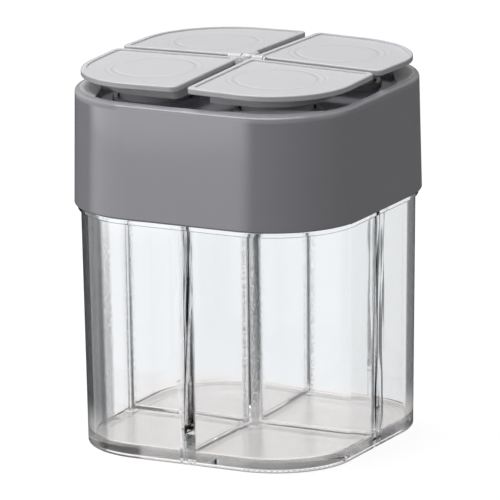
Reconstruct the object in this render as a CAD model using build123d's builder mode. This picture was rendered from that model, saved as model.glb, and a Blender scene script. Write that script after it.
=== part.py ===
"""Four-compartment seasoning jar: a clear divided jar, a push-on collar cap and four petal lids.

Millimetres, +Z up.  The origin is the centre of the base, on the surface that the jar stands on.
-Y is the front.  The slots between the lids run along X and Y, over the jar's cross divider.
What comes four times is drawn in the +X +Y quarter and turned about Z.
"""

from build123d import *
from math import atan, degrees, radians, sqrt, tan
import os

os.makedirs("parts", exist_ok=True)

# Collar cap: outside
overall_width = 80.0  # across the flats of the collar, at its lower edge
collar_bottom = 64.4  # lower edge of the collar above the table
collar_height = 30.8
collar_corner = 24.2
collar_draft = 1.0  # degrees, narrower towards the top
collar_edge_round = 1.1  # outer edge of the top
collar_lip_round = 0.5  # outer edge of the bottom

# Collar cap: inside and deck
collar_wall = 1.6
deck_depth = 3.2  # from the rim down to the deck
deck_thickness = 1.5
rim_wall = 1.6  # thin wall left standing round the deck
rim_round = 0.3

# Collar cap: corner pads, level with the rim, which leave a finger pocket on each side
pad_long_run = 31.5  # back from the corner of the rim, along one side
pad_short_run = 14.9  # back from the same corner, along the next side
pad_point_in = 9.8  # the pad's inner point, in from the first side
pad_point_back = 14.3  # and in from the next side
pad_point_round = 3.0

# Jar: outside
neck_clearance = 0.3  # neck to collar, each side
mouth_clearance = 0.3  # mouth of the jar to the underside of the deck
shoulder_step = 0.1  # the body is this much wider than the neck, each side
jar_flare = 1.0  # the body is this much narrower at the table, each side
jar_corner = 21.1  # at the table
jar_foot_round = 1.0
bead_height = 1.4  # stop bead under the collar
bead_set_back = 0.9  # in from the collar's lower edge
bead_round = 0.3

# Jar: inside
jar_wall = 2.0
neck_wall = 1.25
base_thickness = 3.4
base_relief = 0.4  # hollow under the base
standing_ring = 4.5  # width of the ring that touches the table
divider_foot = 3.2  # the cross divider is thicker at the floor, to leave the mould
divider_top = 1.7
divider_root_fillet = 0.9  # against the outer wall
divider_centre_fillet = 2.2  # where the two walls cross
floor_fillet = 0.6

# Lids: plate
lid_set_back = 1.56  # in from the top of the collar
lid_corner = 22.2
lid_thickness = 1.6
slot_width = 2.9
lid_end_round = 2.0  # corners at the outer ends of the slots
lid_point_round = 0.9  # corner beside the hub
lid_fall = 0.02  # drop of the top face for each mm away from the middle of a slot
lid_edge_round = 0.45
lid_under_round = 0.3
border_width = 1.5  # raised border round the sunk panel of the top face
panel_depth = 0.4

# Lids: skirt
skirt_near = 4.4  # outer face of the skirt from the middle of a slot
skirt_set_in = 6.9  # outer face of the skirt from the lid's outer edge
skirt_corner = 15.0
skirt_point_round = 1.6
skirt_wall = 1.2
skirt_gap = 0.4  # from the level of the rim up to the skirt's edge

# Sifter port in the deck under each lid, and the plug that shuts it
port_radius = 10.0
port_wall = 1.3
port_lip = 1.0  # height of the port's lip above the deck
port_lip_chamfer = 0.3
port_depth = 2.6  # from the top of the lip down to the sifter
sifter_thickness = 1.2
sifter_hole_radius = 1.4
sifter_ring_radius = 5.6
sifter_ring_holes = 6
plug_clearance = 0.6
plug_wall = 1.1
plug_reach = 1.2  # below the top of the lip

# Hinges: each lid turns on one arm of a hub that stands in the middle of the cap
axis_above_rim = 5.4
lid_above_axis = 0.7  # top face of the lids, carried on to the centre
pin_radius = 0.65
pin_clearance = 0.07
pin_head_radius = 0.9
pin_head_length = 0.4
pin_end_play = 0.15
knuckle_radius = 1.2
knuckle_length = 3.2
web_reach = 1.2  # how far the knuckle's web runs on under the lid's border
web_above_axis = 0.4
web_below_axis = 0.6
hub_half = 1.25
hub_corner = 0.4
hub_above_axis = 1.15
hub_below_axis = 1.7
stem_radius = 1.2
stem_clearance = 0.02
stem_length = 4.0
post_wall = 1.4

# Widths and heights that follow from those
slope = tan(radians(collar_draft))
collar_half = overall_width / 2
collar_inner = collar_half - collar_wall
collar_inner_corner = collar_corner - collar_wall
collar_top = collar_bottom + collar_height
rim_half = collar_half - collar_height * slope
rim_corner = collar_corner - collar_height * slope
deck_top = collar_top - deck_depth
deck_under = deck_top - deck_thickness

lip_top = deck_top + port_lip
sifter_top = lip_top - port_depth
plug_bottom = lip_top - plug_reach
plug_radius = port_radius - plug_clearance

jar_top = deck_under - mouth_clearance
neck_height = jar_top - collar_bottom
neck_half = collar_inner - neck_clearance
neck_corner = collar_inner_corner - neck_clearance
neck_top_half = neck_half - neck_height * slope
shoulder_half = neck_half + shoulder_step
foot_half = shoulder_half - jar_flare
jar_draft = degrees(atan(jar_flare / collar_bottom))
inside_height = jar_top - base_thickness
inside_foot_half = foot_half - jar_wall
inside_draft = degrees(atan((neck_top_half - neck_wall - inside_foot_half) / inside_height))

slot_half = slot_width / 2
lid_half = rim_half - lid_set_back
skirt_far = lid_half - skirt_set_in
skirt_bottom = collar_top + skirt_gap
port_centre = (skirt_near + skirt_far) / 2

axis_height = collar_top + axis_above_rim
lid_level = axis_height + lid_above_axis
plate_middle = lid_level - lid_fall * 2 * port_centre - lid_thickness / 2
knuckle_start = slot_half + pin_end_play
post_top = axis_height - hub_below_axis


def square(half, corner):
    """Rounded square about the middle."""
    RectangleRounded(2 * half, 2 * half, corner)


def leaf(sketch, near, far, corner, end_round, point_round):
    """Square from near to far in both directions, with one large rounded corner at the outside."""
    side = far - near
    with Locations(((near + far) / 2, (near + far) / 2)):
        Rectangle(side, side)
    by_distance = sketch.vertices().sort_by_distance((0, 0, 0))
    fillet(by_distance[-1], radius=corner)
    by_distance = sketch.vertices().sort_by_distance((0, 0, 0))
    fillet(by_distance[0], radius=point_round)
    ends = [v for v in sketch.vertices() if abs(abs(v.X - v.Y) - side) < side / 1000]
    fillet(ends, radius=end_round)


def across(turned, distance):
    """Plane square to the turned X axis: its own axes are the turned Y and Z."""
    return Plane(turned.origin + turned.x_dir * distance, x_dir=turned.y_dir, z_dir=turned.x_dir)


def upright_edges(part, height):
    """Edges that climb most of the height, those nearest to the Z axis first."""
    climbing = part.edges().filter_by(lambda edge: edge.bounding_box().size.Z > height / 2)
    return climbing.sort_by(lambda edge: Vector(edge.center().X, edge.center().Y).length)


def make_jar():
    """Clear jar: tapered body with a cross divider, stop bead and neck, in one moulding."""
    with BuildPart() as inside:
        with BuildSketch(Plane.XY.offset(base_thickness)):
            square(inside_foot_half, jar_corner - jar_wall)
        extrude(amount=inside_height, taper=-inside_draft)
        for middle in (Plane.XZ, Plane.YZ):
            with BuildSketch(middle):
                with BuildLine():
                    Polyline(
                        (divider_foot / 2, base_thickness),
                        (divider_top / 2, jar_top),
                        (-divider_top / 2, jar_top),
                        (-divider_foot / 2, base_thickness),
                        close=True,
                    )
                make_face()
            extrude(amount=collar_half, both=True, mode=Mode.SUBTRACT)
        # Four edges stand where the dividing walls cross, then eight where they meet the outer wall
        fillet(upright_edges(inside, inside_height)[4:12], radius=divider_root_fillet)
        fillet(upright_edges(inside, inside_height)[:4], radius=divider_centre_fillet)
        fillet(inside.edges().group_by(Axis.Z)[0], radius=floor_fillet)

    with BuildPart() as bead:
        with BuildSketch(Plane.XY.offset(collar_bottom - bead_height)):
            square(collar_half - bead_set_back, collar_corner - bead_set_back)
        extrude(amount=bead_height)
        fillet(bead.edges().filter_by(Axis.Z, reverse=True), radius=bead_round)

    with BuildPart() as jar:
        with BuildSketch(Plane.XY):
            square(foot_half, jar_corner)
        extrude(amount=collar_bottom, taper=-jar_draft)
        fillet(jar.edges().group_by(Axis.Z)[0], radius=jar_foot_round)
        add(bead.part)
        with BuildSketch(Plane.XY.offset(collar_bottom)):
            square(neck_half, neck_corner)
        extrude(amount=neck_height, taper=collar_draft)
        with BuildSketch(Plane.XY):
            square(foot_half - standing_ring, jar_corner - standing_ring)
        extrude(amount=base_relief, mode=Mode.SUBTRACT)
        add(inside.part, mode=Mode.SUBTRACT)
    return jar.part


def make_collar_cap():
    """Collar with its sunk deck, corner pads, four sifter ports and the post for the hub."""
    with BuildSketch() as pad:
        with BuildLine():
            Polyline(
                (rim_half, rim_half - pad_long_run),
                (rim_half - pad_point_in, rim_half - pad_point_back),
                (rim_half - pad_short_run, rim_half),
                (rim_half, rim_half),
                close=True,
            )
        make_face()
        fillet(pad.vertices().sort_by_distance((0, 0, 0))[0], radius=pad_point_round)

    with BuildPart() as port:
        sifter_under = sifter_top - sifter_thickness
        with BuildSketch(Plane.XY.offset(sifter_under)):
            Circle(port_radius + port_wall)
        extrude(amount=lip_top - sifter_under)
        chamfer(port.edges().group_by(Axis.Z)[-1], length=port_lip_chamfer)

    with BuildPart() as port_hollow:
        with BuildSketch(Plane.XY.offset(sifter_top)):
            Circle(port_radius)
        extrude(amount=port_depth)
        with BuildSketch(Plane.XY.offset(sifter_under)):
            Circle(sifter_hole_radius)
            with PolarLocations(sifter_ring_radius, sifter_ring_holes):
                Circle(sifter_hole_radius)
        extrude(amount=sifter_thickness)

    with BuildPart() as cap:
        with BuildSketch(Plane.XY.offset(collar_bottom)):
            square(collar_half, collar_corner)
        extrude(amount=collar_height, taper=collar_draft)
        fillet(cap.edges().group_by(Axis.Z)[-1], radius=collar_edge_round)
        fillet(cap.edges().group_by(Axis.Z)[0], radius=collar_lip_round)
        with BuildSketch(Plane.XY.offset(collar_bottom)):
            square(collar_inner, collar_inner_corner)
        extrude(amount=deck_under - collar_bottom, taper=collar_draft, mode=Mode.SUBTRACT)
        with BuildSketch(Plane.XY.offset(deck_top)):
            square(rim_half - rim_wall, rim_corner - rim_wall)
            with PolarLocations(0, 4):
                add(pad.sketch, mode=Mode.SUBTRACT)
        extrude(amount=deck_depth, mode=Mode.SUBTRACT)
        rim = cap.faces().sort_by(Axis.Z)[-1]
        fillet(rim.inner_wires()[0].edges(), radius=rim_round)
        with PolarLocations(port_centre * sqrt(2), 4, start_angle=45):
            add(port.part)
            add(port_hollow.part, mode=Mode.SUBTRACT)
        with BuildSketch(Plane.XY.offset(deck_top)):
            Circle(stem_radius + stem_clearance + post_wall)
        extrude(amount=post_top - deck_top)
        with BuildSketch(Plane.XY.offset(post_top - stem_length)):
            Circle(stem_radius + stem_clearance)
        extrude(amount=stem_length, mode=Mode.SUBTRACT)
    return cap.part


def make_hinge_hub():
    """Hub pressed into the post, with an arm and a retaining head for each lid."""
    with BuildPart() as hub:
        with BuildSketch(Plane.XY.offset(post_top)):
            square(hub_half, hub_corner)
        extrude(amount=hub_below_axis + hub_above_axis)
        fillet(hub.edges().group_by(Axis.Z)[-1], radius=hub_corner)
        with BuildSketch(Plane.XY.offset(post_top - stem_length)):
            Circle(stem_radius)
        extrude(amount=stem_length)
        for quarter in range(4):
            turned = Plane.XY.rotated((0, 0, 90 * quarter))
            arm_end = knuckle_start + knuckle_length + pin_end_play
            with BuildSketch(across(turned, 0)):
                with Locations((0, axis_height)):
                    Circle(pin_radius)
            extrude(amount=arm_end)
            with BuildSketch(across(turned, arm_end)):
                with Locations((0, axis_height)):
                    Circle(pin_head_radius)
            extrude(amount=pin_head_length)
    return hub.part


def make_lid(quarter):
    """Petal lid: bordered plate, skirt, plug and hinge knuckle, turned to its own quarter."""
    turned = Plane.XY.rotated((0, 0, 90 * quarter))
    up = Vector(0, 0, 1)
    top_plane = Plane(
        up * lid_level,
        x_dir=turned.x_dir - up * lid_fall,
        z_dir=up + (turned.x_dir + turned.y_dir) * lid_fall,
    )
    with BuildPart() as lid:
        with BuildSketch(top_plane) as outline:
            leaf(outline, slot_half, lid_half, lid_corner, lid_end_round, lid_point_round)
        extrude(amount=-lid_thickness)
        fillet(lid.faces().sort_by(Axis.Z)[-1].edges(), radius=lid_edge_round)
        fillet(lid.faces().sort_by(Axis.Z)[0].edges(), radius=lid_under_round)

        with BuildSketch(top_plane) as panel:
            leaf(
                panel, slot_half + border_width, lid_half - border_width, lid_corner - border_width,
                lid_end_round - border_width / 2, lid_point_round,
            )
        extrude(amount=-panel_depth, mode=Mode.SUBTRACT)

        with BuildSketch(turned.offset(skirt_bottom)):
            for inset, mode in ((0, Mode.ADD), (skirt_wall, Mode.SUBTRACT)):
                with BuildSketch(mode=Mode.PRIVATE) as wall:
                    leaf(
                        wall, skirt_near + inset, skirt_far - inset, skirt_corner - inset,
                        skirt_point_round, skirt_point_round,
                    )
                add(wall.sketch, mode=mode)
        extrude(amount=plate_middle - skirt_bottom)

        with BuildSketch(turned.offset(plug_bottom)):
            with Locations((port_centre, port_centre)):
                Circle(plug_radius)
                Circle(plug_radius - plug_wall, mode=Mode.SUBTRACT)
        extrude(amount=plate_middle - plug_bottom)

        web_length = slot_half + web_reach
        web_height = web_above_axis + web_below_axis
        web_middle = axis_height + (web_above_axis - web_below_axis) / 2
        with BuildSketch(across(turned, knuckle_start)):
            with Locations((0, axis_height)):
                Circle(knuckle_radius)
            with Locations((web_length / 2, web_middle)):
                Rectangle(web_length, web_height)
            with Locations((0, axis_height)):
                Circle(pin_radius + pin_clearance, mode=Mode.SUBTRACT)
        extrude(amount=knuckle_length)
    return lid.part


jar = make_jar()
jar.label = "jar"
export_step(jar, "parts/jar.step")

collar_cap = make_collar_cap()
collar_cap.label = "collar_cap"
export_step(collar_cap, "parts/collar_cap.step")

hinge_hub = make_hinge_hub()
hinge_hub.label = "hinge_hub"
export_step(hinge_hub, "parts/hinge_hub.step")

lid_names = ["lid_back_right", "lid_back_left", "lid_front_left", "lid_front_right"]
for quarter, name in enumerate(lid_names):
    lid = make_lid(quarter)
    lid.label = name
    export_step(lid, f"parts/{name}.step")
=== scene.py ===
"""Looks for the four-compartment seasoning jar: clear jar, glossy grey cap, satin petal lids."""

import math

import bpy
from mathutils import Matrix, Vector

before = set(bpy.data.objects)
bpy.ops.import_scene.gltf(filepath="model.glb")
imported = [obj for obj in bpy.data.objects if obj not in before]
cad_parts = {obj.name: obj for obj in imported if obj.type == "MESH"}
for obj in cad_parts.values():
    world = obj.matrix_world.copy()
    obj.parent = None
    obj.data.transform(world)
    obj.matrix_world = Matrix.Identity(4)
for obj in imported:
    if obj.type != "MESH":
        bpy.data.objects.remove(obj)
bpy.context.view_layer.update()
scene = bpy.context.scene

# Camera, from the photograph's vanishing lines (metres, degrees)
CAMERA_AZIMUTH = 27.243
CAMERA_ELEVATION = 13.64
CAMERA_ROLL = -0.639
CAMERA_DISTANCE = 2.0
CAMERA_LENS = 549.6
CAMERA_SENSOR = 36.0
CAMERA_REACH = 50.0
TARGET_HEIGHT = 0.049289
TARGET_RIGHT = 0.00015

# Places on the model that the materials follow (metres)
CORNER_CENTRE = 0.0158
RIM_TOP = 0.0952
RIM_BLEND = 0.0022
LEVEL_MARGIN = 0.0001
COLLAR_OUTSIDE = 0.0230
PAD_OUTSIDE = 0.0224
JAR_OUTSIDE = 0.0208
PORT_CENTRE = 0.0177
LID_TOP_LOWEST = 0.0996
INNER_WALL = 0.0335
INNER_FLOOR = 0.0034

# Sink marks on the lids: radius, half width and share of the depth
MARKS = ((0.0109, 0.0011, 1.0), (0.0127, 0.0008, 0.4))
MARK_DEPTH = 0.00020

# All plastics
PLASTIC_IOR = 1.5

# Grey plastics (a noise size is a scale: higher is finer)
FLOW_SIZE = 38.0
SLOW_SIZE = 22.0
TONE_SPREAD = 0.035
GLOSS_SPREAD = 0.15
GLOSS_LEVELS = (0.3, 0.7)
COAT_ROUGHNESS = 0.05
PAD_ROUGHNESS = 0.45
PAD_LEVELS = (0.35, 0.65)
PAD_LEAST = 0.9
COLLAR = {
    "colour": (164, 162, 168),
    "rough": 0.10,
    "grain": 0.000003,
    "grain_size": 900.0,
    "ripple": 0.00006,
    "coat": 0.15,
    # Painted light: a paler colour for the tops of the corner pads
    "painted_pad_light": (206, 204, 206),
}
# The hub's pale colour is a painted highlight standing in for glints on its rounded top
HUB = {
    "colour": (228, 227, 231),
    "rough": 0.34,
    "grain": 0.00001,
    "grain_size": 2200.0,
    "ripple": 0.00004,
}
LID = {
    "colour": (204, 203, 206),
    "rough": 0.38,
    "grain": 0.00001,
    "grain_size": 2600.0,
    "ripple": 0.00004,
}
LID_NODES = ("lid_back_right", "lid_back_left", "lid_front_left", "lid_front_right")

# Clear plastic
CLEAR_COLOUR = (0.990, 0.993, 0.995, 1.0)
CLEAR_ROUGHNESS = 0.01
CLEAR_RIPPLE = 0.00004
CLEAR_SLOW_SIZE = 30.0
ABSORPTION_COLOUR = (0.10, 0.12, 0.14, 1.0)
ABSORPTION_DENSITY = 3.0
SHADOW_COLOUR = (0.95, 0.955, 0.96, 1.0)
FLOOR_HAZE = 0.22
HAZE_BAND = (0.0003, 0.0010)
# Painted shade on the clear walls: darker towards the outline, over a wider band on the left
EDGE_SHADE_COLOUR = (0.12, 0.125, 0.135, 1.0)
EDGE_START = 0.56
EDGE_END = 0.64
EDGE_SHARE = 0.75
EDGE_LEAST = 0.01
EDGE_STEEP = (0.3, 0.7)
EDGE_FOOT = (0.003, 0.014)
EDGE_FOOT_SHARE = 0.45
EDGE_LEFT = (-0.004, 0.004)
EDGE_LEFT_EXTRA = 0.15
WIDE_START = 0.35
WIDE_END = 0.41
WIDE_SHARE = 0.70
# Painted highlights: near-clear streaks down the front and right roots of the divider
STREAK_HIGHLIGHT_COLOUR = (0.95, 0.955, 0.96, 1.0)
STREAK_SIZE = 900.0
STREAK_STRETCH = 0.06
STREAK_LEVELS = (0.42, 0.52)
STREAK_SHARE = 0.75
ROOT_FADE = (0.0024, 0.0034)
GRAIN_COLOUR = (0.30, 0.30, 0.31, 1.0)
GRAIN_SIZE = 1700.0
GRAIN_DEPTH = 0.0006
GRAIN_ROUGHNESS = 0.25
GRAIN_LEVELS = (0.46, 0.54)
GRAIN_SHARE = 0.5

# Where the eroded texture lies in the jar: fades (metres) and strengths
MIDDLE_FADE = (0.0024, 0.0040)
INNER_WALL_END = 0.0350
BACK_ROOT_FADE = (0.0018, 0.0034)
BACK_ROOT_SHARE = 0.8
PATCH_START = (-0.0215, -0.0180)
PATCH_END = (-0.0130, -0.0105)
PATCH_SHARE = 0.7
UPWARD_FADE = (0.015, 0.070)
UPWARD_SHARE = 0.45

# Floor (metres)
FLOOR_REACH = 6.0
FLOOR_DROP = 0.0002
JAR_FOOT_FADE = (0.040, 0.052)
FLOOR_COLOUR = (0.18, 0.18, 0.18, 1.0)
FLOOR_WHITE = 0.88
# Painted shade: the floor under the jar's foot, seen through the clear plastic, is warmer and a little
# darker
FLOOR_SHADE_UNDER_JAR = (1.0, 0.95, 0.925, 1.0)
FLOOR_BEYOND = (0.97, 0.985, 1.0, 1.0)
BLACK = (0.0, 0.0, 0.0, 1.0)

# Painted reflection of a card in the floor (metres), seen only by glossy rays that haven't passed the
# clear plastic
CARD_SIDE = (-0.643, -0.766, 0.0)
CARD_WIDTH = (0.70, 0.93)
CARD_BRIGHT = 1.9
CARD_DARK = 0.12
CARD_START = 0.24
CARD_FADE = 0.06
CARD_FOLD = 0.459
CARD_RAISED = 1.7
CARD_RAISE_START = 0.007
CARD_RAISE_END = 0.012
CARD_CREASE = 0.4
CARD_CREASE_BAND = (0.005, 0.011)

# World
BRIGHT_SIDE = (-0.5, -0.7, 0.5)
WORLD_TURN = (-0.7, 0.7)
WORLD_DARK = 0.085
WORLD_BRIGHT = 0.45
WORLD_REFLECTED_DARK = 0.12


def linear(colour):
    """Linear values of a colour given as 0 to 255 in each channel."""
    out = []
    for value in colour:
        share = value / 255
        out.append(share / 12.92 if share <= 0.04045 else ((share + 0.055) / 1.055) ** 2.4)
    return tuple(out)


class Graph:
    """Short calls for building one node tree."""

    def __init__(self, tree):
        self.tree = tree
        self.tree.nodes.clear()

    def node(self, kind, **settings):
        made = self.tree.nodes.new(kind)
        for key, value in settings.items():
            setattr(made, key, value)
        return made

    def link(self, source, target):
        self.tree.links.new(source, target)

    def put(self, target, value):
        if isinstance(value, bpy.types.NodeSocket):
            self.link(value, target)
        elif value is not None:
            target.default_value = value

    def math(self, operation, first, second=None):
        made = self.node("ShaderNodeMath", operation=operation)
        self.put(made.inputs[0], first)
        self.put(made.inputs[1], second)
        return made.outputs[0]

    def times(self, first, *others):
        for other in others:
            first = self.math("MULTIPLY", first, other)
        return first

    def most(self, first, *others):
        for other in others:
            first = self.math("MAXIMUM", first, other)
        return first

    def size(self, value):
        return self.math("ABSOLUTE", value)

    def away(self, value, level):
        """How far a value is from a level."""
        return self.size(self.math("SUBTRACT", value, level))

    def over(self, value, level):
        return self.math("GREATER_THAN", value, level)

    def under(self, value, level):
        return self.math("LESS_THAN", value, level)

    def place(self):
        """Where a point lies on the piece at rest: x, y and z."""
        return self.node("ShaderNodeTexCoord").outputs["Object"]

    def split(self, vector):
        made = self.node("ShaderNodeSeparateXYZ")
        self.link(vector, made.inputs[0])
        return made.outputs[0], made.outputs[1], made.outputs[2]

    def vector(self, operation, first, second=None):
        made = self.node("ShaderNodeVectorMath", operation=operation)
        self.link(first, made.inputs[0])
        if second is not None:
            made.inputs[1].default_value = second
        return made

    def noise(self, vector, scale, detail, roughness=0.5):
        made = self.node("ShaderNodeTexNoise")
        self.put(made.inputs["Vector"], vector)
        made.inputs["Scale"].default_value = scale
        made.inputs["Detail"].default_value = detail
        made.inputs["Roughness"].default_value = roughness
        return made.outputs["Fac"]

    def span(self, value, low, high, to_low=0.0, to_high=1.0):
        """A smooth step between two levels of a value."""
        made = self.node("ShaderNodeMapRange")
        made.interpolation_type = "SMOOTHSTEP"
        self.put(made.inputs["Value"], value)
        made.inputs["From Min"].default_value = low
        made.inputs["From Max"].default_value = high
        made.inputs["To Min"].default_value = to_low
        made.inputs["To Max"].default_value = to_high
        return made.outputs["Result"]

    def blend(self, factor, first, second):
        made = self.node("ShaderNodeMix", data_type="RGBA")
        self.put(made.inputs[0], factor)
        self.put(made.inputs[6], first)
        self.put(made.inputs[7], second)
        return made.outputs[2]

    def bump(self, height, distance, normal=None):
        made = self.node("ShaderNodeBump")
        made.inputs["Distance"].default_value = distance
        self.put(made.inputs["Height"], height)
        self.put(made.inputs["Normal"], normal)
        return made.outputs["Normal"]

    def ray(self, name):
        """1 for this kind of ray, 0 for others."""
        return self.node("ShaderNodeLightPath").outputs[name]

    def behind_clear(self):
        """1 for a ray that has passed through the clear plastic."""
        return self.over(self.ray("Transmission Depth"), 0.5)

    def mixed(self, factor, first, second):
        made = self.node("ShaderNodeMixShader")
        self.link(factor, made.inputs[0])
        self.link(first, made.inputs[1])
        self.link(second, made.inputs[2])
        return made.outputs[0]

    def finish(self, surface, volume=None, kind="ShaderNodeOutputMaterial"):
        out = self.node(kind)
        self.link(surface, out.inputs["Surface"])
        if volume is not None:
            self.link(volume, out.inputs["Volume"])


def new_material(name):
    material = bpy.data.materials.new(name)
    material.use_nodes = True
    return material, Graph(material.node_tree)


def corner_distance(graph, place):
    """Distance outwards from the square on the corner centres: even along a rounded square wall."""
    parts = []
    for value in graph.split(place)[:2]:
        out = graph.math("SUBTRACT", graph.size(value), CORNER_CENTRE)
        parts.append(graph.math("POWER", graph.most(out, 0.0), 2.0))
    return graph.math("SQRT", graph.math("ADD", *parts))


def port_distance(graph, place):
    """Distance from the upright line through the middle of the nearest port."""
    parts = []
    for value in graph.split(place)[:2]:
        out = graph.math("SUBTRACT", graph.size(value), PORT_CENTRE)
        parts.append(graph.math("POWER", out, 2.0))
    return graph.math("SQRT", graph.math("ADD", *parts))


def sink_rings(graph, place, normal):
    """Soft sink marks on a lid's top, over the wall of the plug."""
    distance = port_distance(graph, place)
    rings = 0.0
    for radius, half_width, depth in MARKS:
        ring = graph.span(graph.away(distance, radius), 0.0, half_width, 0.0, depth)
        rings = graph.math("ADD", rings, ring)
    on_top = graph.over(graph.split(place)[2], LID_TOP_LOWEST)
    return graph.bump(graph.times(rings, on_top), MARK_DEPTH, normal)


def soft_rim(graph, place, normal):
    """The outer wall leans in softly just under the rim."""
    height = graph.split(place)[2]
    rise = graph.most(graph.math("SUBTRACT", height, RIM_TOP - RIM_BLEND), 0.0)
    lean = graph.times(rise, rise, -0.5 / RIM_BLEND)
    outside = graph.over(corner_distance(graph, place), COLLAR_OUTSIDE)
    return graph.bump(graph.times(lean, outside), 1.0, normal)


def moulded_plastic(name, colour, rough, grain, grain_size, ripple, coat=0.0, painted_pad_light=None, shape=None):
    """Opaque moulded plastic: fine grain, faint flow marks in colour and gloss, slow ripple."""
    material, graph = new_material(name)
    place = graph.place()
    flow = graph.noise(place, FLOW_SIZE, 3.0, 0.55)
    fine = graph.noise(place, grain_size, 3.0, 0.6)
    slow = graph.noise(place, SLOW_SIZE, 1.0, 0.4)
    base = linear(colour)
    pale = tuple(min(1.0, c * (1 + TONE_SPREAD)) for c in base) + (1.0,)
    deep = tuple(c * (1 - TONE_SPREAD) for c in base) + (1.0,)
    tone = graph.blend(flow, deep, pale)
    smoothest = rough * (1 - GLOSS_SPREAD)
    roughest = rough * (1 + GLOSS_SPREAD)
    gloss = graph.span(fine, *GLOSS_LEVELS, smoothest, roughest)
    if painted_pad_light is not None:
        # The tops of the corner pads are satin, and painted paler as painted light
        inside = graph.under(corner_distance(graph, place), PAD_OUTSIDE)
        level = graph.over(graph.split(place)[2], RIM_TOP - LEVEL_MARGIN)
        on_pad = graph.times(inside, level)
        speckle = graph.span(fine, *PAD_LEVELS, PAD_LEAST, 1.0)
        tone = graph.blend(graph.times(on_pad, speckle), tone, linear(painted_pad_light) + (1.0,))
        gloss = graph.most(gloss, graph.times(on_pad, PAD_ROUGHNESS))
    shader = graph.node("ShaderNodeBsdfPrincipled")
    graph.put(shader.inputs["Base Color"], tone)
    graph.put(shader.inputs["Roughness"], gloss)
    shader.inputs["IOR"].default_value = PLASTIC_IOR
    shader.inputs["Coat Weight"].default_value = coat
    shader.inputs["Coat Roughness"].default_value = COAT_ROUGHNESS
    normal = graph.bump(slow, ripple)
    if shape is not None:
        normal = shape(graph, place, normal)
    graph.put(shader.inputs["Normal"], graph.bump(fine, grain, normal))
    graph.finish(shader.outputs[0])
    return material


def jar_grains(graph, place):
    """How strongly the eroded texture shows: down the middle, on the back roots, on one wall."""
    across, along, height = graph.split(place)
    out_x = graph.size(across)
    out_y = graph.size(along)
    farther = graph.most(out_x, out_y)
    nearer = graph.math("MINIMUM", out_x, out_y)
    middle = graph.span(farther, *MIDDLE_FADE, 1.0, 0.0)
    at_wall = graph.span(farther, INNER_WALL, INNER_WALL_END)
    root = graph.times(at_wall, graph.span(nearer, *BACK_ROOT_FADE, 1.0, 0.0))
    back = graph.over(along, across)
    patch_start = graph.span(along, *PATCH_START)
    patch_end = graph.span(along, *PATCH_END, 1.0, 0.0)
    patch = graph.times(graph.under(across, -INNER_WALL), patch_start, patch_end)
    inside = graph.under(corner_distance(graph, place), JAR_OUTSIDE)
    low = graph.span(height, *UPWARD_FADE, 1.0, UPWARD_SHARE)
    back_root = graph.times(root, back, BACK_ROOT_SHARE)
    where = graph.most(middle, back_root, graph.times(patch, PATCH_SHARE))
    return graph.times(where, inside, low)


def jar_edge_shade(graph, place):
    """How strongly painted shade darkens the outer walls towards their outline: wider on the left,
    weaker low down.
    """
    across, _, height = graph.split(place)
    angle = graph.node("ShaderNodeLayerWeight")
    angle.inputs["Blend"].default_value = 0.5
    facing = angle.outputs["Facing"]
    steep = graph.size(graph.split(graph.node("ShaderNodeNewGeometry").outputs["Normal"])[2])
    outer = graph.over(corner_distance(graph, place), JAR_OUTSIDE)
    above_base = graph.span(height, *EDGE_FOOT, EDGE_FOOT_SHARE, 1.0)
    upright = graph.times(graph.span(steep, *EDGE_STEEP, 1.0, 0.0), outer, above_base)
    left = graph.span(across, *EDGE_LEFT, 1.0, 0.0)
    share = graph.math("ADD", graph.times(left, EDGE_LEFT_EXTRA), EDGE_SHARE)
    narrow = graph.times(graph.span(facing, EDGE_START, EDGE_END), share)
    wide = graph.times(graph.span(facing, WIDE_START, WIDE_END, 0.0, WIDE_SHARE), left)
    return graph.times(graph.most(narrow, wide), upright)


def jar_root_highlights(graph, place):
    """How strongly painted highlights streak the front and right roots of the divider."""
    across, along, _ = graph.split(place)
    stretched = graph.vector("MULTIPLY", place, (1.0, 1.0, STREAK_STRETCH)).outputs[0]
    lines = graph.span(graph.noise(stretched, STREAK_SIZE, 1.0), *STREAK_LEVELS, 0.0, STREAK_SHARE)
    near_front = graph.span(graph.size(across), *ROOT_FADE, 1.0, 0.0)
    near_right = graph.span(graph.size(along), *ROOT_FADE, 1.0, 0.0)
    front = graph.times(near_front, graph.under(along, -INNER_WALL))
    right = graph.times(near_right, graph.over(across, INNER_WALL))
    return graph.times(lines, graph.most(front, right))


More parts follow.
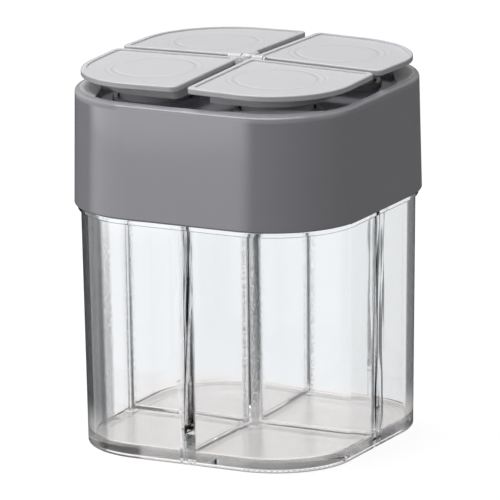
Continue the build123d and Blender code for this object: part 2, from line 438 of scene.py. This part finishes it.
def clear_plastic(name):
    """Clear moulded jar: polished walls, an eroded texture inside and a hazy inner floor."""
    material, graph = new_material(name)
    place = graph.place()
    slow = graph.noise(place, CLEAR_SLOW_SIZE, 1.0, 0.4)
    fine = graph.noise(place, GRAIN_SIZE, 3.0, 0.65)
    grains = jar_grains(graph, place)
    floor_away = graph.away(graph.split(place)[2], INNER_FLOOR)
    haze = graph.span(floor_away, *HAZE_BAND, FLOOR_HAZE, 0.0)
    rough = graph.most(graph.times(grains, GRAIN_ROUGHNESS), haze)

    glass = graph.node("ShaderNodeBsdfPrincipled")
    glass.inputs["Base Color"].default_value = CLEAR_COLOUR
    glass.inputs["Transmission Weight"].default_value = 1.0
    glass.inputs["IOR"].default_value = PLASTIC_IOR
    graph.put(glass.inputs["Roughness"], graph.math("ADD", rough, CLEAR_ROUGHNESS))
    normal = graph.bump(slow, CLEAR_RIPPLE)
    graph.put(glass.inputs["Normal"], graph.bump(graph.times(fine, grains), GRAIN_DEPTH, normal))

    # Dark outlines of painted shade, specks, and streaks of painted highlight are a see-through layer
    # mixed over the clear plastic
    edge_shade = jar_edge_shade(graph, place)
    root_highlights = jar_root_highlights(graph, place)
    specks = graph.times(grains, graph.span(fine, *GRAIN_LEVELS), GRAIN_SHARE)
    layer = graph.node("ShaderNodeBsdfTransparent")
    shade = graph.blend(graph.over(edge_shade, EDGE_LEAST), GRAIN_COLOUR, EDGE_SHADE_COLOUR)
    shade = graph.blend(graph.over(root_highlights, edge_shade), shade, STREAK_HIGHLIGHT_COLOUR)
    graph.put(layer.inputs["Color"], shade)
    tinted = graph.mixed(graph.most(edge_shade, specks, root_highlights), glass.outputs[0], layer.outputs[0])

    # Lamps reach what stands inside and under the clear walls
    through = graph.node("ShaderNodeBsdfTransparent")
    through.inputs["Color"].default_value = SHADOW_COLOUR
    surface = graph.mixed(graph.ray("Is Shadow Ray"), tinted, through.outputs[0])
    volume = graph.node("ShaderNodeVolumeAbsorption")
    volume.inputs["Color"].default_value = ABSORPTION_COLOUR
    volume.inputs["Density"].default_value = ABSORPTION_DENSITY
    graph.finish(surface, volume.outputs[0])
    return material


def put_on(node, material):
    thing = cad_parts[node]
    thing.data.materials.clear()
    thing.data.materials.append(material)


def area_lamp(name, place, aim, size, power, colour=(1.0, 1.0, 1.0)):
    """Square softbox: size in metres, power in watts."""
    lamp = bpy.data.lights.new(name, "AREA")
    lamp.shape = "RECTANGLE"
    lamp.size = size
    lamp.size_y = size
    lamp.energy = power
    lamp.color = colour
    thing = bpy.data.objects.new(name, lamp)
    scene.collection.objects.link(thing)
    thing.location = place
    thing.rotation_euler = (Vector(aim) - Vector(place)).to_track_quat("-Z", "Y").to_euler()


def painted_card_reflection(graph, place, clear):
    """Painted reflection that glossy walls mirror in the floor: a glowing pale folded card in front on
    the left, dark elsewhere.
    """
    outwards = graph.vector("NORMALIZE", place).outputs["Vector"]
    side = graph.vector("DOT_PRODUCT", outwards, CARD_SIDE).outputs["Value"]
    distance = graph.vector("LENGTH", place).outputs["Value"]
    reach_in = graph.span(distance, CARD_START, CARD_START + CARD_FADE)
    crease = graph.span(graph.away(distance, CARD_FOLD), *CARD_CREASE_BAND, CARD_CREASE, 0.0)
    raise_start = CARD_FOLD + CARD_RAISE_START
    raise_end = CARD_FOLD + CARD_RAISE_END
    raised = graph.span(distance, raise_start, raise_end, 1.0, CARD_RAISED)
    level = graph.math("SUBTRACT", raised, crease)
    lit = graph.times(graph.span(side, *CARD_WIDTH), reach_in, level, CARD_BRIGHT)
    strength = graph.times(graph.most(lit, CARD_DARK), graph.math("SUBTRACT", 1.0, clear))
    return graph.times(strength, graph.ray("Is Glossy Ray"))


def make_floor():
    """Pale plain floor: near white to the camera; painted shade makes it warm and a little darker where
    it is seen through the jar's base; black with a painted reflection to glossy rays.
    """
    reach = FLOOR_REACH
    corners = [(-reach, -reach, 0), (reach, -reach, 0), (reach, reach, 0), (-reach, reach, 0)]
    mesh = bpy.data.meshes.new("floor")
    mesh.from_pydata(corners, [], [(0, 1, 2, 3)])
    floor = bpy.data.objects.new("floor", mesh)
    scene.collection.objects.link(floor)
    floor.location.z = -FLOOR_DROP

    material, graph = new_material("pale_floor")
    place = graph.place()
    across, along, _ = graph.split(place)
    beyond = graph.span(graph.most(graph.size(across), graph.size(along)), *JAR_FOOT_FADE)
    clear = graph.behind_clear()
    matte = graph.node("ShaderNodeBsdfDiffuse")
    # Painted reflection: the floor is black to glossy rays, apart from the glowing card
    graph.put(matte.inputs["Color"], graph.blend(graph.ray("Is Glossy Ray"), FLOOR_COLOUR, BLACK))
    white = graph.node("ShaderNodeEmission")
    graph.put(white.inputs["Strength"], graph.times(graph.ray("Is Camera Ray"), FLOOR_WHITE))
    seen = graph.node("ShaderNodeEmission")
    graph.put(seen.inputs["Color"], graph.blend(beyond, FLOOR_SHADE_UNDER_JAR, FLOOR_BEYOND))
    graph.put(seen.inputs["Strength"], clear)
    card_reflection = graph.node("ShaderNodeEmission")
    graph.put(card_reflection.inputs["Strength"], painted_card_reflection(graph, place, clear))

    total = matte.outputs[0]
    for part in (white, seen, card_reflection):
        both = graph.node("ShaderNodeAddShader")
        graph.link(total, both.inputs[0])
        graph.link(part.outputs[0], both.inputs[1])
        total = both.outputs[0]
    graph.finish(total)
    floor.data.materials.append(material)


def make_world():
    """White where it is seen; for light and for gloss a studio brighter on the left and in front."""
    world = bpy.data.worlds.new("studio")
    world.use_nodes = True
    scene.world = world
    graph = Graph(world.node_tree)
    direction = graph.node("ShaderNodeTexCoord").outputs["Generated"]
    bright = Vector(BRIGHT_SIDE).normalized()
    side = graph.vector("DOT_PRODUCT", direction, bright).outputs["Value"]
    light = graph.span(side, *WORLD_TURN, WORLD_DARK, WORLD_BRIGHT)
    mirrored = graph.span(side, *WORLD_TURN, WORLD_REFLECTED_DARK, 1.0)
    mirrored = graph.times(mirrored, graph.ray("Is Glossy Ray"))
    seen = graph.most(graph.ray("Is Camera Ray"), graph.behind_clear())
    sky = graph.node("ShaderNodeBackground")
    graph.put(sky.inputs["Strength"], graph.most(light, mirrored, seen))
    graph.finish(sky.outputs[0], kind="ShaderNodeOutputWorld")


def make_camera():
    azimuth = math.radians(CAMERA_AZIMUTH)
    elevation = math.radians(CAMERA_ELEVATION)
    roll = math.radians(CAMERA_ROLL)
    flat = math.cos(elevation)
    back = Vector((math.sin(azimuth) * flat, -math.cos(azimuth) * flat, math.sin(elevation)))
    level = Vector((math.cos(azimuth), math.sin(azimuth), 0.0))
    above = back.cross(level)
    right = level * math.cos(roll) + above * math.sin(roll)
    up = above * math.cos(roll) - level * math.sin(roll)
    lens = bpy.data.cameras.new("camera")
    lens.lens = CAMERA_LENS
    lens.sensor_width = CAMERA_SENSOR
    lens.clip_end = CAMERA_REACH
    lens.dof.use_dof = False
    camera = bpy.data.objects.new("camera", lens)
    scene.collection.objects.link(camera)
    turn = Matrix((right, up, back)).transposed().to_4x4()
    target = Vector((0, 0, TARGET_HEIGHT)) + level * TARGET_RIGHT
    camera.matrix_world = Matrix.Translation(target + back * CAMERA_DISTANCE) @ turn
    scene.camera = camera


put_on("jar", clear_plastic("clear_jar"))
put_on("collar_cap", moulded_plastic("gloss_grey", shape=soft_rim, **COLLAR))
put_on("hinge_hub", moulded_plastic("hub_grey", **HUB))
lid_material = moulded_plastic("satin_grey", shape=sink_rings, **LID)
for lid_node in LID_NODES:
    put_on(lid_node, lid_material)

area_lamp("top", (-0.20, 0.0, 1.05), (0, 0, 0.08), 0.8, 9.4)
area_lamp("key_front", (-0.42, -1.05, 0.45), (0, 0, 0.06), 0.7, 2.7, (0.97, 0.975, 1.0))
area_lamp("fill_right", (1.0, 0.35, 0.75), (0, 0, 0.08), 0.9, 2.0, (1.0, 0.99, 0.97))
make_floor()
make_world()
make_camera()
scene.view_settings.view_transform = "Standard"
